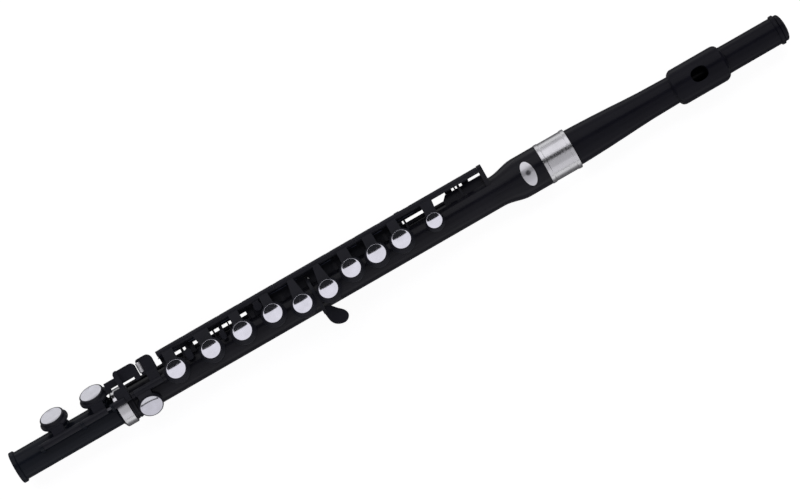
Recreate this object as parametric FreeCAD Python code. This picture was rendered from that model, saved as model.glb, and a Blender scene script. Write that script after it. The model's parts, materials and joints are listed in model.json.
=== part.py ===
"""Concert flute in moulded plastic, in three joints: foot, body and head.

Frame: the origin is the centre of the bore's open foot end, +X runs along the tube towards the
crown, +Z is the side that the tone holes face and +Y is the side of the key rail.
Angles round the tube are measured from +Z towards +Y. Sprung keys that stand open are drawn shut
and then lifted about their hinge, so the solids lie as the flute does when nobody plays it.
"""
import FreeCAD, Part
import math
import os
from FreeCAD import Vector

# ---------------------------------------------------------------- driving dimensions, mm
BORE_R = 9.5
BODY_R = 12.5
FOOT_R = 11.7
FOOT_BEAD_R = 13.1
FIT = 0.06                      # radial running clearance of rods, tubes and tenons

# stations along the tube
FOOT_SOCKET_X = 85.0
FOOT_RING_X = (90.8, 100.0)
BODY_X0 = 85.2
COLLAR_X = (100.2, 104.6)
FLARE_X = (424.0, 445.0)
HEAD_SOCKET_X = 446.0
BARREL_RING_X = (464.7, 490.7)
TENON_X0 = 448.0
HEAD_SHOULDER_X = 490.9
EMBOUCHURE_X = 602.0
HEAD_END_X = 672.9
CROWN_END_X = 678.4

# radii of the joints
FOOT_SOCKET_R = 10.9
FOOT_RING_R = 15.5
FOOT_RING_IN_R = 14.2
TENON_R = FOOT_SOCKET_R - FIT
BARREL_R = 16.2
BARREL_RING_IN_R = 14.6
BARREL_RIM_R = 16.6
HEAD_SOCKET_R = 12.9
HEAD_TENON_R = HEAD_SOCKET_R - FIT
BORE_AT_STOPPER_R = 8.6
STOPPER_X = (619.0, 632.0)

# hinges: (y, z) of each axis
STACK = (19.2, 17.4)
TRILL = (19.4, 12.2)
G_SHARP = (18.6, 2.6)
THUMB = (16.0, -7.5)
ROD_R = 1.1
BARREL_OUT_R = 2.5
SIDE_BARREL_R = 2.8             # barrels of the foot keys and the E flat key
OPEN_DEG = 7.5                  # how far an open key stands above its tone hole
FOOT_OPEN_DEG = 9.0


def on_circle(radius, angle):
    """The (y, z) of a point at an angle from +Z towards +Y."""
    return (radius * math.sin(math.radians(angle)), radius * math.cos(math.radians(angle)))


FOOT_HINGE = on_circle(18.6, 3.0)
E_FLAT = on_circle(17.0, 4.0)

# ---------------------------------------------------------------- shape helpers


def bar_x(radius, x0, x1, centre=(0.0, 0.0)):
    """A round bar along X."""
    return Part.makeCylinder(radius, x1 - x0, Vector(x0, centre[0], centre[1]), Vector(1, 0, 0))


def turned_x(outline):
    """A solid turned about the tube's axis from (x, radius) points."""
    points = [Vector(x, 0, r) for x, r in outline]
    wire = Part.makePolygon(points + points[:1])
    return Part.Face(wire).revolve(Vector(0, 0, 0), Vector(1, 0, 0), 360)


def turned_z(outline):
    """A solid turned about Z from (radius, z) points."""
    points = [Vector(r, 0, z) for r, z in outline]
    wire = Part.makePolygon(points + points[:1])
    return Part.Face(wire).revolve(Vector(0, 0, 0), Vector(0, 0, 1), 360)


def ring_x(inner, outer, x0, x1):
    """A plain ring round the tube's axis."""
    return bar_x(outer, x0, x1).cut(bar_x(inner, x0 - 1, x1 + 1))


def slab_x(outline, x0, x1):
    """A slab across the tube: (y, z) points, thick along X."""
    points = [Vector(x0, y, z) for y, z in outline]
    return Part.Face(Part.makePolygon(points + points[:1])).extrude(Vector(x1 - x0, 0, 0))


def slab_z(outline, z0, z1):
    """A slab in plan: (x, y) points, thick along Z."""
    points = [Vector(x, y, z0) for x, y in outline]
    return Part.Face(Part.makePolygon(points + points[:1])).extrude(Vector(0, 0, z1 - z0))


def strip(points, thickness):
    """The outline of a strip of even thickness along a (y, z) path."""
    left, right = [], []
    for i, (y, z) in enumerate(points):
        before = points[max(i - 1, 0)]
        after = points[min(i + 1, len(points) - 1)]
        run = math.hypot(after[0] - before[0], after[1] - before[1])
        ny = -(after[1] - before[1]) / run * thickness / 2
        nz = (after[0] - before[0]) / run * thickness / 2
        left.append((y + ny, z + nz))
        right.append((y - ny, z - nz))
    return left + right[::-1]


def round_side(x, angle, shape):
    """Move a shape drawn about +Z to a station and an angle round the tube."""
    moved = shape.copy()
    moved.rotate(Vector(0, 0, 0), Vector(1, 0, 0), -angle)
    moved.translate(Vector(x, 0, 0))
    return moved


def set_off(x, offset, shape):
    """Move a shape drawn about +Z to a station and an offset across the tube."""
    moved = shape.copy()
    moved.translate(Vector(x, offset, 0))
    return moved


def swung(shape, hinge, degrees):
    """Turn a shape about a hinge that runs along X."""
    moved = shape.copy()
    moved.rotate(Vector(0, hinge[0], hinge[1]), Vector(1, 0, 0), degrees)
    return moved


def fused(shapes):
    """One clean solid from several."""
    whole = shapes[0]
    if len(shapes) > 1:
        whole = whole.multiFuse(shapes[1:])
    return whole.removeSplitter()


def save(name, shape):
    """Write one sub-part, with its solids kept separate."""
    solids = shape.Solids
    kept = solids[0] if len(solids) == 1 else Part.makeCompound(solids)
    if not kept.isValid():
        print("not valid:", name)
    kept.exportStep(os.path.join("parts", name + ".step"))
    print(f"{name:22s} solids {len(solids):2d}  volume {kept.Volume:9.1f}")


# ---------------------------------------------------------------- key cups
# Radial levels are distances from the tube's axis. rim: top of the tone hole's chimney.


def cup_size(rim, hole, chimney, pad, flange, button, insert, height):
    return dict(rim=rim, hole=hole, chimney=chimney, pad=pad, flange=flange, button=button,
                insert=insert, top=rim + height)


MAIN_CUP = cup_size(16.0, 6.7, 8.3, 8.9, 10.0, 8.5, 7.4, 6.9)
G_CUP = cup_size(16.0, 6.3, 7.8, 8.9, 10.0, 8.5, 7.4, 6.9)
SMALL_CUP = cup_size(15.4, 3.9, 5.4, 6.0, 7.8, 6.9, 6.1, 6.6)
FOOT_CUP = cup_size(15.0, 6.9, 8.6, 9.4, 11.6, 10.1, 8.8, 6.8)
E_FLAT_CUP = cup_size(13.8, 6.7, 8.2, 8.8, 10.0, 9.7, 8.7, 3.8)
G_SHARP_CUP = cup_size(14.6, 6.0, 7.0, 7.2, 8.0, 7.6, 0.0, 3.6)
TRILL_CUP = cup_size(14.4, 3.0, 4.2, 4.5, 5.2, 4.9, 0.0, 3.4)
CHIMNEY_Z0 = 9.8                # the chimneys start inside the tube's wall
PAD_GAP = 0.12                  # pad to rim when the key is shut
PAD_THICK = 1.5
SKIRT = 0.8                     # how far the pad stands out of its cup
INSERT_DEEP = 1.3
DISH_DEEP = 0.75


def cup_solid(size):
    """The key's round head, about +Z at its shut level."""
    low = size["rim"] + PAD_GAP + SKIRT
    top = size["top"]
    shoulder = low + 0.27 * (top - low)
    waist = low + 0.5 * (top - low)
    flange, button = size["flange"], size["button"]
    return turned_z([(0, low), (flange - 0.4, low), (flange, low + 0.4), (flange, shoulder),
                     (button + 0.25, waist), (button, waist + 0.3), (button, top - 0.45),
                     (button - 0.45, top), (0, top)])


def pad_solid(size):
    """The soft ring-faced pad under a cup."""
    low = size["rim"] + PAD_GAP
    r = size["pad"]
    return turned_z([(0, low), (r - 0.3, low), (r, low + 0.3), (r, low + PAD_THICK), (0, low + PAD_THICK)])


def insert_solid(size):
    """The dished bright disc let into a cup's top."""
    r, top = size["insert"], size["top"]
    edge = top + 0.15
    disc = Part.makeCylinder(r, edge - top + INSERT_DEEP, Vector(0, 0, top - INSERT_DEEP))
    chord = r - 0.12
    dish_r = (chord * chord + DISH_DEEP * DISH_DEEP) / (2 * DISH_DEEP)
    return disc.cut(Part.makeSphere(dish_r, Vector(0, 0, edge - DISH_DEEP + dish_r)))


def cup_pockets(size):
    """What is cut out of a cup: the pad's seat below and the disc's seat above."""
    low = size["rim"] + PAD_GAP
    cuts = [Part.makeCylinder(size["pad"], PAD_THICK, Vector(0, 0, low))]
    if size["insert"]:
        floor = size["top"] - INSERT_DEEP
        cuts.append(Part.makeCylinder(size["insert"], INSERT_DEEP + 1, Vector(0, 0, floor)))
    return cuts


def chimney_solid(size):
    """The raised rim round a tone hole."""
    collar = size["chimney"] + 0.6
    return turned_z([(0, CHIMNEY_Z0), (collar, CHIMNEY_Z0), (collar, size["rim"] - 2.6),
                     (size["chimney"], size["rim"] - 1.8), (size["chimney"], size["rim"]), (0, size["rim"])])


def offset_chimney_solid(size):
    """A G hole's chimney: it starts lower, with a draft, because it stands off the tube's middle."""
    collar = size["chimney"] + 0.6
    return turned_z([(0, 3.5), (collar - 1.0, 3.5), (collar, 8.5), (collar, size["rim"] - 2.6),
                     (size["chimney"], size["rim"] - 1.8), (size["chimney"], size["rim"]), (0, size["rim"])])


def hole_solid(size, z0=0.0):
    return Part.makeCylinder(size["hole"], size["rim"] + 1 - z0, Vector(0, 0, z0))


def beside(level, offset, angle):
    """The (y, z) at a level above the axis and an offset across it, in a cup's own directions."""
    a = math.radians(angle)
    return (level * math.sin(a) + offset * math.cos(a), level * math.cos(a) - offset * math.sin(a))


def arm_path(size, angle, hinge, side=1):
    """From a hinge over the tone hole's rim into the middle of a cup."""
    low = size["rim"] + PAD_GAP + SKIRT
    knee = beside(low + 1.3, side * (size["flange"] - 0.6), angle)
    return [hinge, knee, on_circle(low + PAD_THICK + 0.9, angle)]


def arm_along(path, thickness, plan):
    """An arm along a (y, z) path, cut to a plan outline."""
    levels = [z for _, z in path]
    xs = [p[0] for p in plan]
    side = strip(path, thickness)
    return slab_x(side, min(xs), max(xs)).common(slab_z(plan, min(levels) - 5, max(levels) + 5))


def hinge_barrel(span, hinge, radius=BARREL_OUT_R):
    return bar_x(radius, span[0], span[1], hinge)


def bored(shape, span, hinge, radius=ROD_R + FIT):
    """Drill the rod's hole through a hinge barrel."""
    return shape.cut(bar_x(radius, span[0] - 1, span[1] + 1, hinge))


# ---------------------------------------------------------------- the stack of keys on the body
G_OFFSET = -5.2                 # the G cups and their tone holes stand off the row towards -Y
# name, [cup x], offset, cup size, hinge barrel span, the arm's reach to -X and +X at the hinge,
# half its width at the cup
STACK_KEYS = [
    ("d_key", [145.5], 0.0, MAIN_CUP, (141.2, 160.8), (4.5, 4.5), 4.5),
    ("e_key", [176.0], 0.0, MAIN_CUP, (165.2, 191.0), (8.2, 5.0), 4.5),
    ("f_key", [203.5], 0.0, MAIN_CUP, (193.6, 209.8), (4.3, 3.7), 4.5),
    ("f_sharp_key", [230.1], 0.0, MAIN_CUP, (226.6, 239.8), (3.5, 3.5), 4.5),
    ("g_key", [253.4, 275.9], G_OFFSET, G_CUP, (243.2, 286.8), (2.2, 2.2), 6.2),
    ("a_key", [298.7], 0.0, MAIN_CUP, (290.2, 309.3), (4.3, 4.3), 4.7),
    ("b_flat_key", [320.7], 0.0, MAIN_CUP, (312.2, 331.3), (4.3, 4.3), 4.7),
    ("b_key", [342.5], 0.0, MAIN_CUP, (334.2, 356.3), (4.5, 3.2), 4.7),
    ("upper_c_key", [371.3], 0.0, SMALL_CUP, (359.2, 418.7), (4.0, 6.2), 4.0),
]
LEVER_SPAN = (213.4, 226.4)     # hinge barrel of the side lever, beside the F sharp key
LUGS = [(137.2, 141.0), (161.0, 165.0), (191.2, 193.4), (210.0, 213.2), (240.0, 243.0), (287.0, 290.0),
        (309.5, 312.0), (331.5, 334.0), (356.5, 359.0)]
POSTS = [(137.2, 141.0), (161.0, 165.0), (213.6, 217.0), (240.0, 243.0), (287.0, 290.0),
         (331.5, 334.0), (369.0, 372.0)]
END_POST_X = (418.9, 422.6)
TRILL_POST_X = (399.0, 401.0)
# thin ribs between the rail's legs
RIBS = [(154.4, 156.1), (159.6, 161.2), (182.5, 183.6), (195.3, 196.1), (350.6, 352.2)]
BEAM_X = (137.2, 372.0)
BEAM_Y = (15.4, 22.6)
BEAM_Z = (6.6, 9.6)
STRAP = [(10.2, 6.4), (11.4, 3.4), (13.2, 3.6), (13.2, 6.2), (11.6, 7.4)]   # lies along the tube


def key_parts(cups, offset, size, span, reach, half_cup, extra=()):
    """Key body, discs and pads of one stack key, lifted to where its spring holds it."""
    y, z = STACK
    low = size["rim"] + PAD_GAP + SKIRT
    path = [(y, z + 0.7), (offset + size["flange"] - 0.6, low + 1.3), (offset, low + PAD_THICK + 0.9)]
    bodies, cuts, discs, pads = [hinge_barrel(span, STACK)], [], [], []
    for x in cups:
        plan = [(x - reach[0], y), (x + reach[1], y), (x + half_cup, offset), (x - half_cup, offset)]
        bodies.append(set_off(x, offset, cup_solid(size)))
        bodies.append(arm_along(path, 2.4, plan))
        cuts += [set_off(x, offset, cut) for cut in cup_pockets(size)]
        discs.append(set_off(x, offset, insert_solid(size)))
        pads.append(set_off(x, offset, pad_solid(size)))
    body = bored(fused(bodies + list(extra)), span, STACK)
    for cut in cuts:
        body = body.cut(cut)
    group = [body, Part.makeCompound(discs), Part.makeCompound(pads)]
    return [swung(shape, STACK, -OPEN_DEG) for shape in group]


TAIL_X = (347.0, 351.0)
TAIL = [(19.2, 19.6), (21.4, 19.2), (22.2, 17.0), (22.6, 14.0), (22.9, 10.0), (22.9, -1.0), (21.7, -1.0),
        (21.7, 15.0), (20.5, 16.0)]


def make_stack():
    for name, cups, offset, size, span, reach, half_cup in STACK_KEYS:
        extra = []
        if name == "b_key":     # its tail runs down behind the rail to the thumb lever
            extra = [swung(slab_x(TAIL, *TAIL_X), STACK, OPEN_DEG)]
        body, discs, pads = key_parts(cups, offset, size, span, reach, half_cup, extra)
        save(name, body)
        save(name.replace("_key", "_disc"), discs)
        save(name.replace("_key", "_pad"), pads)


# ---------------------------------------------------------------- side lever and trill keys
LEVER_TOUCH = (222.4, 12.4)
LEVER_TOUCH_R = 3.3
TRILL_TUBE_R = 1.9
TRILL_ROD_R = 1.0
TRILL_HUB_R = 2.3
D_SHARP_TRILL_X = (158.9, 406.3)    # touch and cup stations
D_TRILL_X = (188.7, 391.6)
D_SHARP_TRILL_ARM_X = (158.9, 160.8)
D_TRILL_ARM_X = (188.2, 190.9)
TRILL_CUP_ARM = 2.8                 # half the width of the arm that carries the cup
TRILL_ANGLE = 108.0
TRILL_ARM = [(19.4, 12.2), (14.6, 12.6), (9.5, 15.4), (4.5, 16.6)]


def touch_pad(x, y, z0, z1, length, width):
    """A finger touch with round ends, long across the tube."""
    half = length / 2 - width / 2
    ends = [Part.makeCylinder(width / 2, z1 - z0, Vector(x, y + side * half, z0)) for side in (-1, 1)]
    middle = Part.makeBox(width, 2 * half, z1 - z0, Vector(x - width / 2, y - half, z0))
    whole = fused(ends + [middle])
    edges = [e for e in whole.Edges if abs(e.BoundBox.ZMin - z1) < 1e-6]
    return whole.makeFillet(0.6, edges)


def make_side_lever():
    """The short lever with a round touch that the right first finger can reach."""
    x, y = LEVER_TOUCH
    touch = Part.makeCylinder(LEVER_TOUCH_R, 2.2, Vector(x, y, 16.6))
    arm = arm_along([STACK, (y, 17.7)], 2.0,
                    [(x - 3, STACK[0]), (x + 3, STACK[0]), (x + 1.8, y), (x - 1.8, y)])
    lever = fused([hinge_barrel(LEVER_SPAN, STACK), arm, touch])
    save("side_lever", bored(lever, LEVER_SPAN, STACK))


def trill_key(stations, arm_x, shaft, length, width):
    """Touch, shaft, cup arm and cup of a trill key, shut."""
    x_touch, x_cup = stations
    cup_arm_x = (x_cup - TRILL_CUP_ARM, x_cup + TRILL_CUP_ARM)
    middle = TRILL_CUP["rim"] + PAD_GAP + PAD_THICK + 0.9
    shapes = [slab_x(strip(TRILL_ARM, 2.0), *arm_x), bar_x(TRILL_HUB_R, *arm_x, TRILL),
              touch_pad(x_touch, 7.2, 15.4, 17.6, length, width),
              slab_x(strip([TRILL, on_circle(middle, TRILL_ANGLE)], 2.0), *cup_arm_x),
              bar_x(TRILL_HUB_R, *cup_arm_x, TRILL), shaft,
              round_side(x_cup, TRILL_ANGLE, cup_solid(TRILL_CUP))]
    key = fused(shapes)
    for cut in cup_pockets(TRILL_CUP):
        key = key.cut(round_side(x_cup, TRILL_ANGLE, cut))
    return key


def make_trill_keys():
    """Two trill keys on one axis: the D sharp key's rod runs inside the D key's tube."""
    rod = bar_x(TRILL_ROD_R, D_SHARP_TRILL_ARM_X[0], D_SHARP_TRILL_X[1] + TRILL_CUP_ARM, TRILL)
    d_sharp_trill = trill_key(D_SHARP_TRILL_X, D_SHARP_TRILL_ARM_X, rod, 9.0, 6.0)
    tube_x = (D_TRILL_ARM_X[0], D_TRILL_X[1] + TRILL_CUP_ARM)
    tube = bar_x(TRILL_TUBE_R, *tube_x, TRILL)
    d_trill = bored(trill_key(D_TRILL_X, D_TRILL_ARM_X, tube, 8.0, 4.6), tube_x, TRILL, TRILL_ROD_R + FIT)
    for name, key, x in (("d_sharp_trill_key", d_sharp_trill, D_SHARP_TRILL_X[1]),
                         ("d_trill_key", d_trill, D_TRILL_X[1])):
        save(name, Part.makeCompound([key, round_side(x, TRILL_ANGLE, pad_solid(TRILL_CUP))]))


# ---------------------------------------------------------------- G sharp key and thumb lever
G_SHARP_X = 264.7
G_SHARP_CUP_X = 253.4
G_SHARP_ANGLE = 119.0
G_SHARP_SPAN = (246.2, 268.0)
G_SHARP_POSTS = [(243.2, 246.0), (268.2, 271.2)]
G_SHARP_ARM = [(18.6, 2.6), (15.4, 4.6), (14.5, 9.2), (9.4, 13.9), (4.0, 15.8), (-2.0, 15.8), (-9.0, 13.9),
               (-14.0, 10.4), (-17.0, 9.0)]
SPATULA = [(263.4, -13.4), (264.2, -20.5), (265.8, -26.0), (271.4, -29.8), (276.4, -29.6), (279.5, -25.6),
           (278.2, -21.6), (274.0, -17.4), (268.8, -12.8)]
THUMB_SPAN = (300.0, 345.8)
THUMB_POSTS = [(296.4, 299.8), (346.0, 349.4)]
THUMB_TOUCH_X = (304.0, 334.0)
THUMB_FINGER_X = (340.6, 345.8)


def make_g_sharp():
    """A see-saw: the leaf-shaped touch in front lifts the cup on the far side."""
    outline = [Vector(x, y, 8.0) for x, y in SPATULA]
    curve = Part.BSplineCurve()
    curve.interpolate(Points=outline, PeriodicFlag=True)
    leaf = Part.Face(Part.Wire(curve.toShape())).extrude(Vector(0, 0, 2.0))
    half = 1.3
    arm = slab_x(strip(G_SHARP_ARM, 1.9), G_SHARP_X - half, G_SHARP_X + half)
    middle = G_SHARP_CUP["rim"] + PAD_GAP + PAD_THICK + 0.9
    cup_arm = slab_x(strip([G_SHARP, on_circle(middle, G_SHARP_ANGLE)], 2.2),
                     G_SHARP_CUP_X - 4, G_SHARP_CUP_X + 4)
    cup = round_side(G_SHARP_CUP_X, G_SHARP_ANGLE, cup_solid(G_SHARP_CUP))
    key = fused([leaf, arm, cup_arm, cup, hinge_barrel(G_SHARP_SPAN, G_SHARP, 2.2)])
    key = bored(key, G_SHARP_SPAN, G_SHARP)
    for cut in cup_pockets(G_SHARP_CUP):
        key = key.cut(round_side(G_SHARP_CUP_X, G_SHARP_ANGLE, cut))
    save("g_sharp_key", key)
    save("g_sharp_pad", round_side(G_SHARP_CUP_X, G_SHARP_ANGLE, pad_solid(G_SHARP_CUP)))


def make_thumb_lever():
    """The thumb's touch behind the tube, with a finger that pushes the B key's tail."""
    x0, x1 = THUMB_TOUCH_X
    plate = Part.makeBox(x1 - x0, 7.5, 2.0, Vector(x0, -3.75, 15.5))
    corners = [e for e in plate.Edges if e.BoundBox.ZLength > 1.9]
    plate = round_side(0, 135.0, plate.makeFillet(3.0, corners))
    web = slab_x(strip([THUMB, on_circle(16.5, 128.0)], 2.0), x0 + 6, x1 - 6)
    finger = slab_x(strip([THUMB, (18.8, -3.4), (19.6, 4.0)], 2.0), *THUMB_FINGER_X)
    reach = slab_x([(18.6, 1.2), (20.7, 1.2), (20.7, 4.2), (18.6, 4.2)], THUMB_FINGER_X[0], TAIL_X[1] - 0.6)
    lever = fused([plate, web, finger, reach, hinge_barrel(THUMB_SPAN, THUMB, 2.2)])
    save("thumb_lever", bored(lever, THUMB_SPAN, THUMB))


# ---------------------------------------------------------------- E flat key on the body's foot end
E_FLAT_X = 114.6
E_FLAT_ANGLE = -44.0
E_FLAT_SPAN = (108.2, 132.0)
E_FLAT_POSTS = [(105.2, 108.0), (132.2, 135.2)]
E_FLAT_TOUCH_X = (120.2, 133.0)
E_FLAT_TOUCH_Y = (11.0, 23.9)
ROLLER_X = 121.3
ROLLER_R = 1.9
ROLLER_PIN_R = 0.5
ROLLER_Y = (12.9, 21.3)
TOUCH_Z = (14.9, 17.5)
TOUCH_EDGE_R = 0.5


def rounded_plate(x_range, y_range, z_range, near, far):
    """A flat plate with its two outer corners rounded, each to its own radius, and a soft top edge."""
    x0, x1 = x_range
    y0, y1 = y_range
    z0, z1 = z_range
    plate = Part.makeBox(x1 - x0, y1 - y0, z1 - z0, Vector(x0, y0, z0))
    for x, radius in ((x0, near), (x1, far)):
        corner = [e for e in plate.Edges if e.BoundBox.ZLength > 1 and e.BoundBox.YMin > y1 - 1e-6
                  and abs(e.BoundBox.XMin - x) < 1e-6 and e.BoundBox.XLength < 1e-6]
        plate = plate.makeFillet(radius, corner)
    top = [e for e in plate.Edges if e.BoundBox.ZMin > z1 - 1e-6]
    return plate.makeFillet(TOUCH_EDGE_R, top)


def along_y(radius, y_range, x, z):
    """A round bar across the tube."""
    return Part.makeCylinder(radius, y_range[1] - y_range[0], Vector(x, y_range[0], z), Vector(0, 1, 0))


def make_e_flat():
    """A see-saw: the little finger's touch behind lifts the cup in front."""
    size = E_FLAT_CUP
    cup = round_side(E_FLAT_X, E_FLAT_ANGLE, cup_solid(size))
    cup_arm = slab_x(strip(arm_path(size, E_FLAT_ANGLE, E_FLAT), 1.8), E_FLAT_X - 5.5, E_FLAT_X + 5.5)
    touch = rounded_plate(E_FLAT_TOUCH_X, E_FLAT_TOUCH_Y, TOUCH_Z, 2.0, 4.5)
    touch_arm = slab_x(strip([E_FLAT, (12.0, 16.2)], 2.4), ROLLER_X + ROLLER_R, E_FLAT_SPAN[1])
    key = fused([cup, cup_arm, touch, touch_arm, hinge_barrel(E_FLAT_SPAN, E_FLAT, SIDE_BARREL_R)])
    key = bored(key, E_FLAT_SPAN, E_FLAT)
    for cut in cup_pockets(size):
        key = key.cut(round_side(E_FLAT_X, E_FLAT_ANGLE, cut))
    roller_z = TOUCH_Z[1] - 0.5
    y0, y1 = ROLLER_Y
    slot = along_y(ROLLER_R + 0.15, (y0 - 0.2, y1 + 0.2), ROLLER_X, roller_z)
    pin = along_y(ROLLER_PIN_R, (y0 - 1.2, y1 + 1.2), ROLLER_X, roller_z)
    roller = along_y(ROLLER_R, ROLLER_Y, ROLLER_X, roller_z)
    save("e_flat_key", fused([key.cut(slot), pin]))
    save("e_flat_roller", roller.cut(along_y(ROLLER_PIN_R + FIT, (y0 - 1, y1 + 1), ROLLER_X, roller_z)))
    save("e_flat_disc", round_side(E_FLAT_X, E_FLAT_ANGLE, insert_solid(size)))
    save("e_flat_pad", round_side(E_FLAT_X, E_FLAT_ANGLE, pad_solid(size)))


# ---------------------------------------------------------------- body
STACK_ROD_X = (137.6, 421.6)
FOOT_SEAL_X = (91.0, 93.2)
FOOT_SEAL_DEEP = 0.75
SEAL_CLEAR = 0.02               # the seals stop just short of the socket's wall
BODY_HOLES = ([(x, 0.0, size) for _, cups, offset, size, *_ in STACK_KEYS if not offset for x in cups]
              + [(E_FLAT_X, E_FLAT_ANGLE, E_FLAT_CUP), (G_SHARP_CUP_X, G_SHARP_ANGLE, G_SHARP_CUP),
                 (D_TRILL_X[1], TRILL_ANGLE, TRILL_CUP), (D_SHARP_TRILL_X[1], TRILL_ANGLE, TRILL_CUP)])
OFFSET_HOLES = [(x, offset, size) for _, cups, offset, size, *_ in STACK_KEYS if offset for x in cups]
BLOCK = [(8.0, 9.2), (16.2, 8.6), (16.2, 3.4), (12.2, 2.6)]             # (y, z), beside the trill cups
BLOCK_PLAN = [(384.5, 8.0), (384.5, 12.6), (388.0, 16.2), (419.0, 16.2), (419.0, 8.0)]
BLOCK_RIB = [(15.8, 4.0), (20.0, 7.0), (20.0, 9.8), (15.8, 9.0)]
BLOCK_RIB_X = (396.4, 397.6)


def small_post(span, hinge, foot_wide, eye=2.1):
    """A post from the tube to a hinge rod."""
    r = math.hypot(*hinge)
    angle = math.degrees(math.atan2(hinge[0], hinge[1]))
    half = foot_wide / 2
    web = slab_x([(-half, 11.0), (half, 11.0), (eye, r), (-eye, r)], span[0], span[1])
    return [round_side(0, angle, web), bar_x(eye, span[0], span[1], hinge)]


def thumb_post(span):
    """A post of the thumb lever that also makes the foot the flute lies on."""
    return slab_x([(7.0, -9.6), (8.2, -16.12), (12.4, -16.12), (18.2, -9.4), (18.2, -6.0), (16.4, -5.2),
                   (10.4, -4.4)], span[0], span[1])


def make_body():
    """Tube with its chimneys, barrel socket, foot tenon and moulded posts."""
    ring0, ring1 = BARREL_RING_X
    flare0, flare1 = FLARE_X
    collar0, collar1 = COLLAR_X
    bend = [(flare0 + (flare1 - flare0) * t, BODY_R + (BARREL_R - BODY_R) * (3 - 2 * t) * t * t)
            for t in [i / 8 for i in range(9)]]
    outline = [(BODY_X0, 0), (BODY_X0, TENON_R - 0.4), (BODY_X0 + 0.4, TENON_R), (collar0, TENON_R),
               (collar0, 14.0), (collar0 + 1.4, 14.0), (collar0 + 1.7, 13.5), (collar0 + 2.3, 13.5),
               (collar0 + 2.6, 14.0), (collar1 - 0.4, 14.0), (collar1, 13.6), (collar1, BODY_R)]
    outline += bend
    outline += [(ring0, BARREL_R), (ring0, BARREL_RING_IN_R), (ring1, BARREL_RING_IN_R), (ring1, 0)]
    tube = turned_x(outline)
    chimneys = [round_side(x, angle, chimney_solid(size)) for x, angle, size in BODY_HOLES]
    chimneys += [set_off(x, offset, offset_chimney_solid(size)) for x, offset, size in OFFSET_HOLES]
    block = slab_x(BLOCK, BLOCK_PLAN[0][0], BLOCK_PLAN[-1][0]).common(slab_z(BLOCK_PLAN, 0, 12))
    posts = [block, slab_x(BLOCK_RIB, *BLOCK_RIB_X)]
    posts += [slab_x(STRAP, collar1 - 0.2, BEAM_X[0]), slab_x(STRAP, BEAM_X[1], BLOCK_PLAN[0][0] + 1)]
    for span in E_FLAT_POSTS:
        posts += small_post(span, E_FLAT, 7.0, 2.6)
    for span in G_SHARP_POSTS:
        posts += small_post(span, G_SHARP, 7.0)
    posts += [thumb_post(span) for span in THUMB_POSTS]
    posts += small_post(END_POST_X, STACK, 9.0, 2.9) + small_post(TRILL_POST_X, TRILL, 8.0)
    tube = fused([tube] + chimneys + posts)
    cuts = [bar_x(BORE_R, BODY_X0 - 1, HEAD_SOCKET_X + 1), bar_x(HEAD_SOCKET_R, HEAD_SOCKET_X, ring1 + 1)]
    cuts += [round_side(x, angle, hole_solid(size)) for x, angle, size in BODY_HOLES]
    cuts += [set_off(x, offset, hole_solid(size, 3.0)) for x, offset, size in OFFSET_HOLES]
    cuts += [bar_x(ROD_R, STACK_ROD_X[0], STACK_ROD_X[1], STACK)]
    cuts += side_rods() + [bar_x(TRILL_ROD_R + FIT, *TRILL_POST_X, TRILL)]
    s0, s1 = FOOT_SEAL_X
    floor = TENON_R - FOOT_SEAL_DEEP
    cuts.append(ring_x(floor, TENON_R + 1, s0, s1))
    for cut in cuts:
        tube = tube.cut(cut)
    save("body_tube", tube)
    seal_r = FOOT_SOCKET_R - SEAL_CLEAR
    save("foot_tenon_seal", ring_x(floor + 0.05, seal_r, s0 + 0.2, s1 - 0.2))
    rims = [(ring0 + 0.1, BARREL_RING_IN_R), (ring0 + 0.1, BARREL_RIM_R), (ring0 + 3.0, BARREL_RIM_R),
            (ring0 + 3.6, BARREL_R), (ring1 - 3.6, BARREL_R), (ring1 - 3.0, BARREL_RIM_R),
            (ring1 - 0.4, BARREL_RIM_R), (ring1, BARREL_RIM_R - 0.4), (ring1, BARREL_RING_IN_R)]
    save("barrel_ring", turned_x(rims))
    make_badge()


BADGE_X = 451.2
BADGE_HALF = (5.2, 10.0)
BADGE_ROLL = -10.5              # the badge is rolled a little towards -Y


def make_badge():
    """A plain oval plate on the barrel with a small round boss."""
    half_x, half_y = BADGE_HALF
    oval = Part.Ellipse(Vector(0, 0, 0), half_y, half_x).toShape()
    oval.rotate(Vector(0, 0, 0), Vector(0, 0, 1), 90)
    column = Part.Face(Part.Wire(oval)).extrude(Vector(0, 0, 20))
    plate = column.common(bar_x(BARREL_R + 0.6, -10, 10)).cut(bar_x(BARREL_R, -11, 11))
    boss = Part.makeCylinder(0.6, 1.2, Vector(0, 0, BARREL_R + 0.05))
    save("barrel_badge", round_side(BADGE_X, BADGE_ROLL, fused([plate, boss])))


# ---------------------------------------------------------------- rail, rods, springs, screws
SPRING_R = 0.35
SPRING_YZ = (16.3, 13.9)
SPRING_LONG = 15.0
SPRING_X = [(137.8, 1), (164.6, 1), (193.1, 1), (240.2, -1), (243.2, 1), (286.8, -1), (309.3, -1),
            (331.3, -1), (359.4, -1)]
SCREW_X = [139.1, 163.0, 215.3, 241.5, 288.5, 332.75, 370.5]


def side_rods():
    """The steel rods of the E flat key, the G sharp key and the thumb lever."""
    return [bar_x(ROD_R, E_FLAT_POSTS[0][0] + 0.4, E_FLAT_POSTS[1][1], E_FLAT),
            bar_x(ROD_R, G_SHARP_POSTS[0][0] + 0.4, G_SHARP_POSTS[1][1], G_SHARP),
            bar_x(ROD_R, THUMB_POSTS[0][0] + 0.4, THUMB_POSTS[1][1], THUMB)]


def rail_post(span):
    """One leg of the rail, with a foot that sits on the tube."""
    return slab_x([(7.6, 10.4), (16.8, 9.8), (19.8, 6.6), (11.9, 1.8), (9.0, 4.0)], span[0], span[1])


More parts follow.
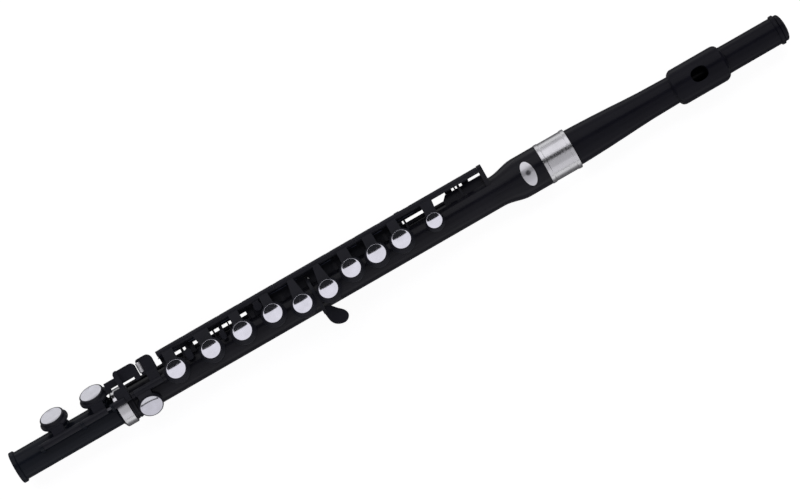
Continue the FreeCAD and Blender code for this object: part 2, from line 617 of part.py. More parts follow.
def lug(span):
    """An ear that holds the key rod, and the trill shaft below it."""
    shape = slab_x([(16.9, 9.0), (21.6, 9.0), (21.6, 17.4), (16.8, 17.4)], span[0], span[1])
    return fused([shape, bar_x(2.4, span[0], span[1], STACK)])


WEB = [(9.8, 7.4), (16.8, 6.6), (16.8, 9.6), (8.2, 9.6)]                  # joins strap and beam
WEB_X = (212.0, 346.0)
ARM_SLOT_X = (263.3, 266.1)     # the G sharp key's arm comes up through here
TAIL_SLOT_X = (346.5, 351.5)    # and the B key's tail goes down here


def make_rail():
    """The long moulded rail with its legs and ears."""
    beam = slab_x([(BEAM_Y[0], BEAM_Z[0] + 0.8), (BEAM_Y[0] + 0.8, BEAM_Z[0]), (BEAM_Y[1] - 0.8, BEAM_Z[0]),
                   (BEAM_Y[1], BEAM_Z[0] + 0.8), (BEAM_Y[1], BEAM_Z[1]), (BEAM_Y[0], BEAM_Z[1])], *BEAM_X)
    legs = [rail_post(span) for span in POSTS + RIBS]
    ears = [lug(span) for span in LUGS]
    rail = fused([beam, slab_x(STRAP, *BEAM_X), slab_x(WEB, *WEB_X)] + legs + ears)
    shaft_hole = Part.makeCompound([
        bar_x(TRILL_ROD_R + FIT, 130.0, 187.0, TRILL),
        bar_x(TRILL_TUBE_R + FIT, 187.0, 400.0, TRILL)])
    cuts = [bar_x(BODY_R, BEAM_X[0] - 1, BEAM_X[1] + 1), bar_x(ROD_R, *STACK_ROD_X, STACK), shaft_hole]
    cuts += [slab_x([(5.0, 6.3), (15.9, 6.3), (15.9, 11.0), (5.0, 11.0)], *ARM_SLOT_X),
             slab_x([(21.4, 5.0), (24.0, 5.0), (24.0, 11.0), (21.4, 11.0)], *TAIL_SLOT_X)]
    cuts += [fused(small_post(span, G_SHARP, 7.0)) for span in G_SHARP_POSTS]
    cuts += springs()
    cuts += screws()
    for cut in cuts:
        rail = rail.cut(cut)
    save("key_rail", rail)
    save("rail_screws", Part.makeCompound(screws()))


def springs():
    pins = []
    for x, way in SPRING_X:
        x0, x1 = (x, x + SPRING_LONG) if way > 0 else (x - SPRING_LONG, x)
        pins.append(bar_x(SPRING_R, x0 - 1.5 * (way > 0), x1 + 1.5 * (way < 0), SPRING_YZ))
    return pins


def screws():
    """Small screws through the rail's legs, seen from below the rail."""
    made = []
    for x in SCREW_X:
        start = Vector(x, 15.2, 4.6)
        way = Vector(0, -0.78, -0.36)
        made.append(Part.makeCylinder(1.1, 1.4, start, way))
    return made


def make_rods():
    save("hinge_rods", Part.makeCompound([bar_x(ROD_R, *STACK_ROD_X, STACK)] + side_rods()))
    save("needle_springs", Part.makeCompound(springs()))


# ---------------------------------------------------------------- foot
C_X = 44.2
C_SHARP_X = 79.0
FOOT_ANGLE = 58.0
FOOT_POSTS = [(25.0, 28.0), (61.0, 64.0), (87.6, 89.8)]
C_SPAN = (28.2, 60.8)
C_SHARP_SPAN = (64.2, 84.0)
C_HUB_X = (90.0, 99.6)
C_TOUCH_X = (100.6, 104.6)
C_COVER_X = (94.4, 104.6)       # the C lever's broad part, over the socket's ring
C_SHARP_TOUCH_X = (103.7, 118.7)
C_SHARP_LEG_X = (114.0, 118.7)
C_SHARP_ARM_X = (85.0, 105.5)
C_SHARP_ARM_Z = (14.7, 16.9)
C_SHARP_TOUCH_Z = (14.7, 17.2)
C_LIFT_DEG = FOOT_OPEN_DEG + 2.0    # keeps the C touch above the C sharp arm when it is pressed alone


def foot_key(name, x, span, extra=(), apart=()):
    """Key body, disc and pad of a foot key; apart holds pieces joined to it only by its rod."""
    size = FOOT_CUP
    arm = slab_x(strip(arm_path(size, FOOT_ANGLE, FOOT_HINGE, -1), 2.2), x - 5, x + 5)
    low = size["rim"] + PAD_GAP + SKIRT
    shoulder = low + 0.27 * (size["top"] - low)
    over = round_side(x, FOOT_ANGLE, Part.makeCylinder(size["flange"] + 0.3, 20, Vector(0, 0, shoulder)))
    shapes = [round_side(x, FOOT_ANGLE, cup_solid(size)), arm, hinge_barrel(span, FOOT_HINGE, SIDE_BARREL_R)]
    key = bored(fused(shapes + [shape.cut(over) for shape in extra]), span, FOOT_HINGE)
    for cut in cup_pockets(size):
        key = key.cut(round_side(x, FOOT_ANGLE, cut))
    parts = [(name, Part.makeCompound([key] + list(apart))),
             (name.replace("_key", "_disc"), round_side(x, FOOT_ANGLE, insert_solid(size))),
             (name.replace("_key", "_pad"), round_side(x, FOOT_ANGLE, pad_solid(size)))]
    for part_name, shape in parts:
        save(part_name, swung(shape, FOOT_HINGE, FOOT_OPEN_DEG))


def make_foot_keys():
    touch = rounded_plate(C_SHARP_TOUCH_X, (13.4, 24.0), C_SHARP_TOUCH_Z, 1.0, 4.0)
    leg = rounded_plate(C_SHARP_LEG_X, (9.6, 20.0), C_SHARP_TOUCH_Z, 0.5, 0.5)
    z0, z1 = C_SHARP_ARM_Z
    arm = slab_z([(C_SHARP_ARM_X[0], 14.2), (C_SHARP_ARM_X[1], 14.2), (C_SHARP_ARM_X[1], 20.0),
                  (C_SHARP_ARM_X[0], 20.0)], z0, z1)
    gusset = slab_x([(11.4, 15.9), (15.4, 11.2), (20.0, z0), (20.0, z1), (14.2, z1)],
                    C_SHARP_ARM_X[0], C_COVER_X[0] - 0.4)
    foot_key("c_sharp_key", C_SHARP_X, C_SHARP_SPAN,
             [swung(shape, FOOT_HINGE, -FOOT_OPEN_DEG) for shape in (touch, leg, arm, gusset)])
    foot_key("c_key", C_X, C_SPAN, apart=[swung(c_touch_lever(), FOOT_HINGE, C_LIFT_DEG)])
    save("foot_rod", bar_x(ROD_R, 25.4, C_HUB_X[1] - 2, FOOT_HINGE))


def c_touch_lever():
    """The C key's touch: a second piece on the far end of the rod that turns with the key."""
    y, z = FOOT_HINGE
    hub = bar_x(SIDE_BARREL_R, *C_HUB_X, FOOT_HINGE)
    cover = rounded_plate(C_COVER_X, (-1.3, 10.6), (16.9, 19.2), 1.5, 0.6)
    reach = slab_x(strip([(y, z + 0.2), (11.0, 17.6), (16.0, 16.2)], 2.4), *C_TOUCH_X)
    plate = rounded_plate(C_TOUCH_X, (13.6, 23.6), TOUCH_Z, 2.9, 0.5)
    return fused([hub, cover, reach, plate]).cut(bar_x(ROD_R, C_HUB_X[0] - 1, C_HUB_X[1] - 2, FOOT_HINGE))


def make_foot():
    """Foot tube with its bead, chimneys, hinge posts and the ring round its socket."""
    ring0, ring1 = FOOT_RING_X
    outline = [(0, 0), (0, FOOT_BEAD_R - 0.5), (0.5, FOOT_BEAD_R), (3.4, FOOT_BEAD_R),
               (3.9, FOOT_BEAD_R - 0.5), (4.3, FOOT_R), (88.8, FOOT_R), (89.6, 13.0), (90.2, 14.4),
               (ring0, 15.2), (ring0, FOOT_RING_IN_R), (ring1, FOOT_RING_IN_R), (ring1, 0)]
    tube = turned_x(outline)
    holes = [(C_X, FOOT_ANGLE), (C_SHARP_X, FOOT_ANGLE)]
    shapes = [tube] + [round_side(x, angle, chimney_solid(FOOT_CUP)) for x, angle in holes]
    for span in FOOT_POSTS:
        shapes += small_post(span, FOOT_HINGE, 7.0, 2.6)
    tube = fused(shapes)
    cuts = [bar_x(BORE_R, -1, FOOT_SOCKET_X + 1), bar_x(FOOT_SOCKET_R, FOOT_SOCKET_X, ring1 + 1),
            bar_x(ROD_R + FIT, 25.2, 90.5, FOOT_HINGE)]
    cuts += [round_side(x, angle, hole_solid(FOOT_CUP)) for x, angle in holes]
    for cut in cuts:
        tube = tube.cut(cut)
    save("foot_tube", tube)
    band = [(ring0, FOOT_RING_IN_R), (ring0, FOOT_RING_R - 0.4), (ring0 + 0.4, FOOT_RING_R),
            (ring1 - 0.4, FOOT_RING_R), (ring1, FOOT_RING_R - 0.4), (ring1, FOOT_RING_IN_R)]
    save("foot_ring", turned_x(band))


# ---------------------------------------------------------------- head
LIP_X = (578.3, 625.6)            # the tips of the lip plate's curved ends
LIP_SHOULDER_X = (581.6, 621.8)   # the same ends, level with its sides
LIP_CORNER_R = 4.5
LIP_R = 14.7
LIP_SEAT_R = 11.2
LIP_END_R = 12.2
HOLE_HALF = (6.6, 5.3)
HOLE_SQUARE = 0.8               # 1 would make it an ellipse, less makes it squarer
HEAD_ROLL = -6.0                # the head is rolled a little towards -Y
SEAL_X = [(453.0, 455.0), (470.0, 472.0)]
SEAL_DEEP = 0.9
STOPPER_SEALS = [(620.6, 622.6), (627.8, 629.8)]
CROWN_SEAT_R = 7.4
CROWN_R = 10.9
CROWN_DOME = 3.2
STOPPER_ROD_R = 2.4


def bore_r(x):
    """The head's bore narrows from the tenon to the embouchure, then runs straight."""
    share = (EMBOUCHURE_X - x) / (EMBOUCHURE_X - TENON_X0)
    return BORE_AT_STOPPER_R + (BORE_R - BORE_AT_STOPPER_R) * max(0.0, min(1.0, share)) ** 1.6


def make_head():
    """Tapered tube with tenon, and an outside that narrows in a long curve from the shoulder."""
    outside = [(HEAD_SHOULDER_X, 14.8), (500.0, 14.55), (516.0, 13.9), (532.0, 13.05), (544.0, 12.3),
               (555.0, 11.75), (570.0, 11.4), (LIP_X[0] + 0.2, LIP_SEAT_R), (LIP_X[1] - 0.2, LIP_SEAT_R),
               (LIP_X[1], 11.1), (640.0, 11.05), (669.3, 11.0), (669.7, 11.8), (670.1, 12.2), (672.5, 12.2),
               (HEAD_END_X, 11.8), (HEAD_END_X, 0)]
    outline = [(TENON_X0, 0), (TENON_X0, HEAD_TENON_R - 0.4), (TENON_X0 + 0.4, HEAD_TENON_R),
               (HEAD_SHOULDER_X, HEAD_TENON_R)] + outside
    tube = turned_x(outline)
    stations = [TENON_X0 - 1] + [TENON_X0 + i * (EMBOUCHURE_X - TENON_X0) / 6 for i in range(1, 7)]
    bore = turned_x([(stations[0], 0)] + [(x, bore_r(x)) for x in stations]
                    + [(HEAD_END_X - 4, BORE_AT_STOPPER_R), (HEAD_END_X - 4, 0)])
    mouth = bar_x(CROWN_SEAT_R, HEAD_END_X - 5, HEAD_END_X + 1)
    tube = tube.cut(bore).cut(mouth).cut(embouchure(0.0))
    floor = HEAD_TENON_R - SEAL_DEEP
    for x0, x1 in SEAL_X:
        tube = tube.cut(ring_x(floor, HEAD_TENON_R + 1, x0, x1))
    save("head_tube", tube)
    seals = [ring_x(floor + 0.05, HEAD_SOCKET_R - SEAL_CLEAR, x0 + 0.1, x1 - 0.1) for x0, x1 in SEAL_X]
    save("head_tenon_seals", Part.makeCompound(seals))
    lip = turned_x([(LIP_X[0] + 0.2, LIP_SEAT_R), (LIP_X[0], LIP_END_R), (LIP_X[0] + 1.0, 13.5),
                    (LIP_X[0] + 3.2, LIP_R), (LIP_X[1] - 3.2, LIP_R), (LIP_X[1] - 1.0, 13.5),
                    (LIP_X[1], LIP_END_R), (LIP_X[1] - 0.2, LIP_SEAT_R)])
    save("lip_plate", lip.common(lip_column()).cut(embouchure(0.4)))


def lip_column():
    """The lip plate's outline in plan: straight sides, bowed ends and round corners."""
    side = LIP_R - 0.1
    (tip0, tip1), (end0, end1) = LIP_X, LIP_SHOULDER_X
    left = Part.Arc(Vector(end0, -side, 0), Vector(tip0, 0, 0), Vector(end0, side, 0)).toShape()
    right = Part.Arc(Vector(end1, side, 0), Vector(tip1, 0, 0), Vector(end1, -side, 0)).toShape()
    sides = [Part.makeLine(Vector(end0, side, 0), Vector(end1, side, 0)),
             Part.makeLine(Vector(end1, -side, 0), Vector(end0, -side, 0))]
    outline = Part.Wire([left, sides[0], right, sides[1]])
    column = Part.Face(outline).extrude(Vector(0, 0, 40))
    corners = [edge for edge in column.Edges if edge.BoundBox.ZLength > 39]
    column = column.makeFillet(LIP_CORNER_R, corners)
    column.translate(Vector(0, 0, -20))
    return round_side(0, HEAD_ROLL, column)


def blow_hole_wire(half_x, half_y, z):
    """A rounded oval: a superellipse."""
    points = []
    for i in range(16):
        c, d = math.cos(math.pi * i / 8), math.sin(math.pi * i / 8)
        points.append(Vector(half_x * math.copysign(abs(c) ** HOLE_SQUARE, c),
                             half_y * math.copysign(abs(d) ** HOLE_SQUARE, d), z))
    curve = Part.BSplineCurve()
    curve.interpolate(Points=points, PeriodicFlag=True)
    return Part.Wire(curve.toShape())


def embouchure(flare):
    """The blow hole, which opens a little towards the outside."""
    half_x, half_y = HOLE_HALF
    wires = [blow_hole_wire(half_x, half_y, 6), blow_hole_wire(half_x + flare, half_y + flare, 17)]
    return round_side(EMBOUCHURE_X, HEAD_ROLL, Part.makeLoft(wires, True))


def make_crown():
    """Crown cap, and the stopper that its screw moves along the bore."""
    x0, x1 = HEAD_END_X + 0.15, CROWN_END_X
    dome = [(x1 - CROWN_DOME * (1 - math.sin(a)), CROWN_R * math.cos(a))
            for a in [math.radians(15 * i) for i in range(6)]]
    cap = turned_x([(x0, 0), (x0, CROWN_R - 0.4), (x0 + 0.4, CROWN_R)] + dome + [(x1, 0)])
    neck = bar_x(CROWN_SEAT_R - 0.3, HEAD_END_X - 4.0, x0 + 0.1)
    cap = fused([cap, neck]).cut(bar_x(STOPPER_ROD_R + FIT, HEAD_END_X - 5, x1 - 2.0))
    save("crown_cap", cap)
    s0, s1 = STOPPER_X
    plug_r = BORE_AT_STOPPER_R - 0.15
    plug = fused([bar_x(plug_r, s0, s1), bar_x(STOPPER_ROD_R, s1 - 0.5, x1 - 3.2)])
    floor = plug_r - SEAL_DEEP
    for x0, x1 in STOPPER_SEALS:
        plug = plug.cut(ring_x(floor, plug_r + 1, x0, x1))
    save("head_stopper", plug)
    seal_r = BORE_AT_STOPPER_R - SEAL_CLEAR
    rings = [ring_x(floor + 0.05, seal_r, x0 + 0.1, x1 - 0.1) for x0, x1 in STOPPER_SEALS]
    save("stopper_seals", Part.makeCompound(rings))


os.makedirs("parts", exist_ok=True)
make_body()
make_rail()
make_rods()
make_stack()
make_side_lever()
make_trill_keys()
make_g_sharp()
make_thumb_lever()
make_e_flat()
make_foot()
make_foot_keys()
make_head()
make_crown()
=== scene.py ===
import json
import math
import bpy
from mathutils import Matrix, Vector


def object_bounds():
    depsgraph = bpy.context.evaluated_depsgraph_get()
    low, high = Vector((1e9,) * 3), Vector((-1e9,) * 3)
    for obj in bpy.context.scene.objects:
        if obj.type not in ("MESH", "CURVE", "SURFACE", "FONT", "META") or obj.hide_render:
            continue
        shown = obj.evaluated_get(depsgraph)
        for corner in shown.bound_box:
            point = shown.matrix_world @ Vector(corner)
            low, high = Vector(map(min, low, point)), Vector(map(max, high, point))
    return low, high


# The looks of a moulded-plastic concert flute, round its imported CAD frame. Lengths are in metres.
# +X runs along the tube from the foot to the crown, +Z is the side of the tone holes.

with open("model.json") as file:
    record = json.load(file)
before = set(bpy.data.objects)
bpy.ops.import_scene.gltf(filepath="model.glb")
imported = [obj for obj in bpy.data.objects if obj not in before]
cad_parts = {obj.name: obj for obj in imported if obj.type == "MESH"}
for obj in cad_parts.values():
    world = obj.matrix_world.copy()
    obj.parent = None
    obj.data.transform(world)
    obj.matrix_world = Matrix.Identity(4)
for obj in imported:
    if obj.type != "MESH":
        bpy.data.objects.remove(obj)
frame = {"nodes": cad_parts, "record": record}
cad_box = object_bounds()
nodes = frame["nodes"]

# ---------------------------------------------------------------- camera, floor and light
VIEW_TURN = math.radians(9.0)       # how far the camera stands from +Z towards -Y
VIEW_ROLL = math.radians(29.95)     # the flute climbs to the right by this much in the picture
VIEW_AIM_X = 0.3375                 # the station along the tube at the middle of the picture
VIEW_AIM_DROP = 0.0018              # the middle of the picture lies this far below the tube's axis
VIEW_DISTANCE = 2.68
VIEW_LENS_MM = 157.7
VIEW_SENSOR_MM = 36.0

WORLD_COLOUR = (0.78, 0.8, 0.9)
WORLD_STRENGTH = 0.02
LAMP_TINT = (0.975, 0.96, 1.0)
LAMP_DISTANCE = 1.7
LAMP_LENGTH = 4.2
SOFTBOXES = {                       # where each begins and ends, from +Z towards +Y, and its radiance
    "softbox_rail_side": (17.0, 66.0, 0.84),
    "fill_rail_side": (66.0, 88.0, 0.45),
    "softbox_front": (-50.0, -6.5, 0.44),
    "fill_front": (-87.0, -50.0, 0.64),
}
FLOOR_HALF = 30.0
FLOOR_SEEN_GLOW = 0.9               # the table's own light, as seen directly
FLOOR_FAR_GLOW = 0.55               # the same, as the flute sees it away from the painted shadow round the tube
FLOOR_PAINTED_SHADOW_Y = (0.045, 0.08)      # between these distances from the tube the far glow sets in; nearer, the floor is a painted shadow to the flute

view_back = Vector((0.0, -math.sin(VIEW_TURN), math.cos(VIEW_TURN)))
view_up = Vector((0.0, math.cos(VIEW_TURN), math.sin(VIEW_TURN)))


def add_camera():
    """Looks down on the keys, rolled so that the head end is up and to the right."""
    data = bpy.data.cameras.new("camera")
    data.lens = VIEW_LENS_MM
    data.sensor_width = VIEW_SENSOR_MM
    camera = bpy.data.objects.new("camera", data)
    bpy.context.scene.collection.objects.link(camera)
    along = Vector((1.0, 0.0, 0.0))
    right = along * math.cos(VIEW_ROLL) - view_up * math.sin(VIEW_ROLL)
    up = along * math.sin(VIEW_ROLL) + view_up * math.cos(VIEW_ROLL)
    turn = Matrix((right, up, view_back)).transposed().to_4x4()
    aim = along * VIEW_AIM_X - view_up * VIEW_AIM_DROP
    camera.matrix_world = Matrix.Translation(aim + view_back * VIEW_DISTANCE) @ turn
    bpy.context.scene.camera = camera


def add_softbox(name, from_deg, to_deg, radiance):
    """A long softbox parallel to the tube, between two angles from +Z towards +Y."""
    middle = math.radians((from_deg + to_deg) / 2)
    width = 2 * LAMP_DISTANCE * math.tan(math.radians(to_deg - from_deg) / 2)
    data = bpy.data.lights.new(name, "AREA")
    data.shape = "RECTANGLE"
    data.size = LAMP_LENGTH
    data.size_y = width
    data.energy = radiance * math.pi * LAMP_LENGTH * width
    data.color = LAMP_TINT
    lamp = bpy.data.objects.new(name, data)
    bpy.context.scene.collection.objects.link(lamp)
    outward = Vector((0.0, math.sin(middle), math.cos(middle)))
    lamp.matrix_world = (Matrix.Translation(Vector((VIEW_AIM_X, 0, 0)) + outward * LAMP_DISTANCE)
                         @ Matrix.Rotation(-middle, 4, "X"))
    lamp.visible_camera = False


def add_world():
    """A dim room round the softboxes."""
    world = bpy.data.worlds.new("studio")
    world.use_nodes = True
    background = world.node_tree.nodes["Background"]
    background.inputs["Color"].default_value = (*WORLD_COLOUR, 1.0)
    background.inputs["Strength"].default_value = WORLD_STRENGTH
    bpy.context.scene.world = world


# ---------------------------------------------------------------- materials
class Finish:
    """A node material being put together round one Principled shader."""

    def __init__(self, name, **sockets):
        self.material = bpy.data.materials.new(name)
        self.material.use_nodes = True
        self.tree = self.material.node_tree
        self.shader = self.tree.nodes["Principled BSDF"]
        for socket, value in sockets.items():
            self.shader.inputs[socket.replace("_", " ")].default_value = value
        self.place = self.add("ShaderNodeTexCoord").outputs["Object"]

    def add(self, kind, **settings):
        """A new node of the material's tree."""
        node = self.tree.nodes.new(kind)
        for key, value in settings.items():
            setattr(node, key, value)
        return node

    def link(self, start, end):
        self.tree.links.new(start, end)

    def stretched(self, scale):
        """The place, scaled differently along X, Y and Z."""
        mapping = self.add("ShaderNodeMapping")
        mapping.inputs["Scale"].default_value = scale
        self.link(self.place, mapping.inputs["Vector"])
        return mapping.outputs["Vector"]

    def noise(self, scale, detail=3.0, stretch=None, rough=0.5):
        """Cloudy noise in cells of 1 / scale metres, drawn out along an axis whose stretch is under 1."""
        node = self.add("ShaderNodeTexNoise")
        node.inputs["Scale"].default_value = scale
        node.inputs["Detail"].default_value = detail
        node.inputs["Roughness"].default_value = rough
        self.link(self.stretched(stretch) if stretch else self.place, node.inputs["Vector"])
        return node.outputs["Fac"]

    def spots(self, scale, low, high):
        """Small round specks, 1 inside and 0 outside."""
        cells = self.add("ShaderNodeTexVoronoi")
        cells.inputs["Scale"].default_value = scale
        self.link(self.place, cells.inputs["Vector"])
        return self.between(cells.outputs["Distance"], low, high, 1.0, 0.0)

    def between(self, value, low, high, out_low, out_high):
        """A value mapped from one range to another, and held at its ends."""
        node = self.add("ShaderNodeMapRange")
        node.inputs["From Min"].default_value = low
        node.inputs["From Max"].default_value = high
        node.inputs["To Min"].default_value = out_low
        node.inputs["To Max"].default_value = out_high
        self.link(value, node.inputs["Value"])
        return node.outputs["Result"]

    def marks(self, value, low, high):
        """Patches where a noise is high: 0 below low and 1 above high."""
        return self.between(value, low, high, 0.0, 1.0)

    def maths(self, operation, a, b):
        """One sum of two values, each a number or a node's output."""
        node = self.add("ShaderNodeMath", operation=operation)
        for socket, value in zip(node.inputs, (a, b)):
            if isinstance(value, float):
                socket.default_value = value
            else:
                self.link(value, socket)
        return node.outputs["Value"]

    def plus(self, value, extra, share):
        """A value with a share of another one added."""
        return self.maths("ADD", value, self.maths("MULTIPLY", extra, share))

    def distance_from(self, middle, apart=0.0):
        """How far a place is from a point, or from the nearer of two points apart along X."""
        shift = self.add("ShaderNodeVectorMath", operation="SUBTRACT")
        self.link(self.place, shift.inputs[0])
        shift.inputs[1].default_value = middle
        parts = self.add("ShaderNodeSeparateXYZ")
        self.link(shift.outputs["Vector"], parts.inputs["Vector"])
        along = self.maths("SUBTRACT", self.maths("ABSOLUTE", parts.outputs["X"], 0.0), apart / 2)
        joined = self.add("ShaderNodeCombineXYZ")
        self.link(along, joined.inputs["X"])
        self.link(parts.outputs["Y"], joined.inputs["Y"])
        self.link(parts.outputs["Z"], joined.inputs["Z"])
        length = self.add("ShaderNodeVectorMath", operation="LENGTH")
        self.link(joined.outputs["Vector"], length.inputs[0])
        return length.outputs["Value"]

    def colours(self, value, stops):
        """Drives the colour by a value, through stops of (value, colour)."""
        node = self.add("ShaderNodeValToRGB")
        ramp = node.color_ramp
        stops = list(stops)
        while len(ramp.elements) < len(stops):
            ramp.elements.new(0.5)
        for element, (position, colour) in zip(ramp.elements, stops):
            element.position = position
            element.color = (*colour, 1.0)
        self.link(value, node.inputs["Fac"])
        self.link(node.outputs["Color"], self.shader.inputs["Base Color"])

    def roughness(self, value):
        """Drives the shader's roughness."""
        self.link(value, self.shader.inputs["Roughness"])

    def bump(self, *heights):
        """Bumps laid one on another, each (height, how deep in metres, strength)."""
        normal = None
        for height, depth, strength in heights:
            node = self.add("ShaderNodeBump")
            node.inputs["Distance"].default_value = depth
            node.inputs["Strength"].default_value = strength
            self.link(height, node.inputs["Height"])
            if normal:
                self.link(normal, node.inputs["Normal"])
            normal = node.outputs["Normal"]
        self.link(normal, self.shader.inputs["Normal"])


NOISE_BULK = (0.3, 0.7)             # nearly all values of a noise lie between these
DUST_COLOUR = (0.04, 0.04, 0.045)
DISC_COLOURS = ((0.76, 0.76, 0.82), (0.85, 0.85, 0.92))
DISC_ROUGHNESS = (0.05, 0.1)
BADGE_STOPS = [(0.12, (0.16, 0.16, 0.17)), (0.5, (0.6, 0.6, 0.62)), (0.85, (0.84, 0.84, 0.87))]
BADGE_ROUGHNESS = (0.32, 0.42)
BADGE_DARK_REACH = (0.0015, 0.003)  # the dark centre fades out between these distances
FLOOR_COLOURS = ((0.34, 0.34, 0.34), (0.37, 0.37, 0.37))
ROUND_THE_TUBE = (1.0, 0.06, 0.06)  # lines that run round the tube
ROUND_THE_ROD = (1.0, 0.1, 0.1)
EVEN = (0.3, 0.3, 0.3)              # coarser marks, the same every way
PLASTICS = {                        # darker and lighter colour, gloss, lowest and highest roughness
    "body_plastic": ((0.0100, 0.0100, 0.0150), (0.0130, 0.0130, 0.0195), 0.19, 0.18, 0.3),
    "head_plastic": ((0.0098, 0.0098, 0.0152), (0.0126, 0.0126, 0.0195), 0.12, 0.18, 0.3),
    "foot_plastic": ((0.0096, 0.0120, 0.0185), (0.0126, 0.0152, 0.0230), 0.15, 0.18, 0.3),
    "key_plastic": ((0.0170, 0.0176, 0.0245), (0.0215, 0.0222, 0.0300), 0.17, 0.3, 0.42),
}
METALS = {                          # the same without gloss, and then the way that the lines run
    "bright_metal": ((0.78, 0.78, 0.8), (0.86, 0.86, 0.88), 0.18, 0.28, ROUND_THE_TUBE),
    "roller_metal": ((0.88, 0.88, 0.9), (0.95, 0.95, 0.97), 0.42, 0.52, EVEN),
    "rod_steel": ((0.12, 0.12, 0.13), (0.18, 0.18, 0.2), 0.25, 0.4, ROUND_THE_ROD),
    "spring_steel": ((0.03, 0.035, 0.055), (0.06, 0.065, 0.1), 0.3, 0.45, ROUND_THE_ROD),
}
RUBBERS = {                         # darker and lighter colour, middle roughness, scale of the grain
    "pad_silicone": ((0.62, 0.6, 0.54), (0.74, 0.73, 0.68), 0.55, 1600.0),
    "seal_rubber": ((0.012, 0.012, 0.012), (0.03, 0.03, 0.03), 0.6, 1400.0),
    "stopper_plastic": ((0.02, 0.02, 0.022), (0.035, 0.035, 0.04), 0.5, 1100.0),
}


def plastic(name, dark, light, gloss, smooth, rough):
    """Glossy moulded plastic: clouded colour, flow lines, orange peel, hairline scuffs and dust."""
    finish = Finish(name, IOR=1.5, Specular_IOR_Level=gloss)
    cloud = finish.noise(45.0, detail=4.0)
    flow = finish.noise(160.0, detail=5.0, stretch=(0.18, 1.0, 1.0))
    peel = finish.noise(1500.0, detail=2.0)
    hairlines = finish.noise(420.0, detail=6.0, stretch=(0.09, 1.0, 1.0), rough=0.7)
    scuff = finish.marks(hairlines, 0.62, 0.7)
    dust = finish.spots(900.0, 0.03, 0.07)
    shade = finish.plus(finish.maths("MULTIPLY", cloud, 0.75), dust, 0.3)
    finish.colours(shade, [(0.3, dark), (0.6, light), (1.0, DUST_COLOUR)])
    finish.roughness(finish.plus(finish.between(flow, *NOISE_BULK, smooth, rough), scuff, 0.1))
    finish.bump((peel, 0.00002, 0.25), (flow, 0.0001, 0.08), (scuff, 0.00001, 0.15))
    return finish.material


def metal(name, dark, light, smooth, rough, stretch):
    """Plated or ground metal: fine lines along one way, cloudy tarnish and finger marks."""
    finish = Finish(name, Metallic=1.0)
    grind = finish.noise(1400.0, detail=3.0, stretch=stretch)
    cloud = finish.noise(70.0, detail=4.0)
    mark = finish.marks(finish.noise(260.0, detail=5.0), 0.5, 0.72)
    finish.colours(cloud, zip(NOISE_BULK, (dark, light)))
    finish.roughness(finish.plus(finish.between(grind, *NOISE_BULK, smooth, rough), mark, 0.06))
    finish.bump((grind, 0.000004, 0.1))
    return finish.material


def disc_metal(name, middle, apart):
    """A spun key disc: rings of polish round its middle, or round the two middles of a double key."""
    finish = Finish(name, Metallic=1.0)
    rings = finish.add("ShaderNodeTexNoise", noise_dimensions="1D")
    rings.inputs["Scale"].default_value = 6000.0
    rings.inputs["Detail"].default_value = 4.0
    finish.link(finish.distance_from(middle, apart), rings.inputs["W"])
    spun = rings.outputs["Fac"]
    cloud = finish.noise(180.0, detail=4.0)
    mark = finish.marks(finish.noise(420.0, detail=5.0), 0.52, 0.75)
    hairlines = finish.noise(900.0, detail=4.0, stretch=(0.12, 1.0, 1.0), rough=0.7)
    scratch = finish.marks(hairlines, 0.66, 0.72)
    finish.colours(cloud, zip(NOISE_BULK, DISC_COLOURS))
    finish.roughness(finish.plus(finish.between(spun, *NOISE_BULK, *DISC_ROUGHNESS), mark, 0.05))
    finish.bump((spun, 0.000004, 0.1), (scratch, 0.000003, 0.1))
    return finish.material


def badge_metal(middle):
    """The barrel's satin badge: brushed, a little cloudy, and dark on and round its small boss."""
    finish = Finish("badge_metal", Metallic=1.0)
    brushed = finish.noise(600.0, detail=4.0, stretch=(0.25, 1.0, 1.0))
    near = finish.between(finish.distance_from(middle), *BADGE_DARK_REACH, 0.0, 0.75)
    finish.colours(finish.plus(near, finish.noise(260.0, detail=4.0), 0.3), BADGE_STOPS)
    finish.roughness(finish.between(brushed, *NOISE_BULK, *BADGE_ROUGHNESS))
    finish.bump((brushed, 0.00001, 0.15))
    return finish.material


def rubber(name, dark, light, rough, scale):
    """Matt elastomer or unpolished plastic, with a fine grain and paler bloom in patches."""
    finish = Finish(name, IOR=1.45)
    grain = finish.noise(scale, detail=5.0)
    bloom = finish.noise(120.0, detail=4.0)
    finish.colours(bloom, [(0.35, dark), (0.7, light)])
    finish.roughness(finish.between(grain, *NOISE_BULK, rough - 0.08, rough + 0.08))
    finish.bump((grain, 0.00005, 0.35))
    return finish.material


def floor_material():
    """Pale paper on a light table: white to look at, and to the flute dark near the tube, a painted
    shadow.
    """
    finish = Finish("pale_floor", Roughness=0.9, Specular_IOR_Level=0.0)
    finish.shader.inputs["Emission Color"].default_value = (1.0, 1.0, 1.0, 1.0)
    seen = finish.add("ShaderNodeLightPath").outputs["Is Camera Ray"]
    across = finish.add("ShaderNodeSeparateXYZ")
    finish.link(finish.place, across.inputs["Vector"])
    aside = finish.maths("ABSOLUTE", across.outputs["Y"], 0.0)
    # painted shadow: as the flute sees it, the floor's glow is nil near the tube and rises to the far
    # glow further out
    glow_past_painted_shadow = finish.between(aside, *FLOOR_PAINTED_SHADOW_Y, 0.0, FLOOR_FAR_GLOW)
    glow = finish.maths("MAXIMUM", finish.maths("MULTIPLY", seen, FLOOR_SEEN_GLOW), glow_past_painted_shadow)
    finish.link(glow, finish.shader.inputs["Emission Strength"])
    finish.colours(finish.noise(900.0, detail=3.0), zip(NOISE_BULK, FLOOR_COLOURS))
    return finish.material


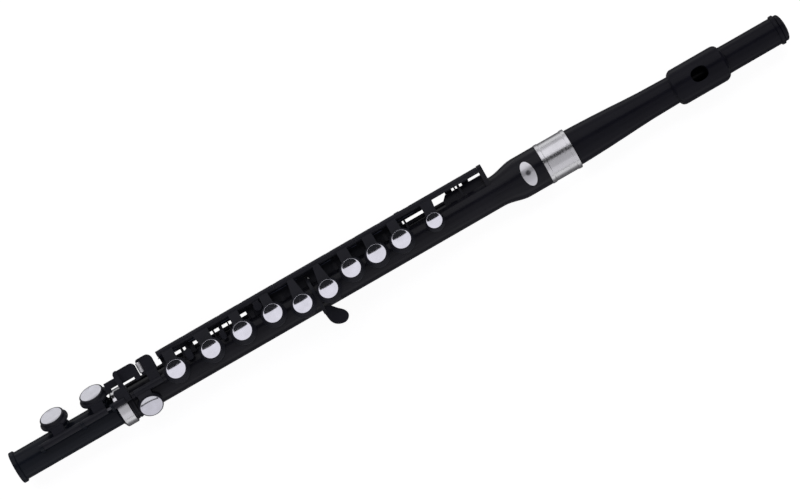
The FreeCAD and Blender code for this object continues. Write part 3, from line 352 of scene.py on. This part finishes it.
def add_floor():
    """A square plane, level with the lowest point of the flute."""
    mesh = bpy.data.meshes.new("floor")
    z = cad_box[0].z
    corners = [(x * FLOOR_HALF, y * FLOOR_HALF, z) for x, y in ((-1, -1), (1, -1), (1, 1), (-1, 1))]
    mesh.from_pydata(corners, [], [(0, 1, 2, 3)])
    floor = bpy.data.objects.new("floor", mesh)
    bpy.context.scene.collection.objects.link(floor)
    mesh.materials.append(floor_material())


# ---------------------------------------------------------------- carried-over CAD nodes
EDGE_ROUND = 0.0003
EDGE_SHARP_ANGLE = math.radians(32.0)
WELD_REACH = 1e-6
G_CUPS_APART = 0.0225               # between the middles of the double key's two discs
OWN_FINISH = {                      # nodes whose finish differs from that of the rest of their slot
    "head_tube": "head_plastic",
    "lip_plate": "head_plastic",
    "crown_cap": "head_plastic",
    "foot_tube": "foot_plastic",
    "barrel_badge": "badge_metal",
    "e_flat_roller": "roller_metal",
    "needle_springs": "spring_steel",
}


def soften(node):
    """Joins a CAD node's split corners, rounds its sharp edges a little and shades it smooth."""
    weld = node.modifiers.new("weld", "WELD")
    weld.merge_threshold = WELD_REACH
    bevel = node.modifiers.new("bevel", "BEVEL")
    bevel.width = EDGE_ROUND
    bevel.segments = 2
    bevel.limit_method = "ANGLE"
    bevel.angle_limit = EDGE_SHARP_ANGLE
    bevel.use_clamp_overlap = True
    bevel.harden_normals = False
    node.data.shade_smooth()
    shading = node.modifiers.new("shading", "WEIGHTED_NORMAL")
    shading.mode = "FACE_AREA_WITH_ANGLE"
    shading.weight = 70
    shading.keep_sharp = True


def middle_of(node):
    """The middle of a node's box."""
    corners = [Vector(corner) for corner in node.bound_box]
    return (corners[0] + corners[6]) / 2


def top_of(node):
    """The point over the middle of a node's box, level with its top."""
    middle = middle_of(node)
    return Vector((middle.x, middle.y, max(corner[2] for corner in node.bound_box)))


def paint(node, material):
    """Gives a node its one material."""
    node.data.materials.clear()
    node.data.materials.append(material)


add_camera()
add_world()
for name, place in SOFTBOXES.items():
    add_softbox(name, *place)
add_floor()

slots = {name: plastic(name, *values) for name, values in PLASTICS.items()}
slots.update({name: metal(name, *values) for name, values in METALS.items()})
slots.update({name: rubber(name, *values) for name, values in RUBBERS.items()})
slots["badge_metal"] = badge_metal(top_of(nodes["barrel_badge"]))
slot_of = {part["node"]: part["material_slot"] for part in frame["record"]["subparts"]}
slot_of.update(OWN_FINISH)
for name, node in nodes.items():
    if slot_of[name] == "disc_metal":
        apart = G_CUPS_APART if name == "g_disc" else 0.0
        paint(node, disc_metal(name + "_metal", middle_of(node), apart))
    else:
        paint(node, slots[slot_of[name]])
    soften(node)

bpy.context.scene.view_settings.view_transform = "Standard"
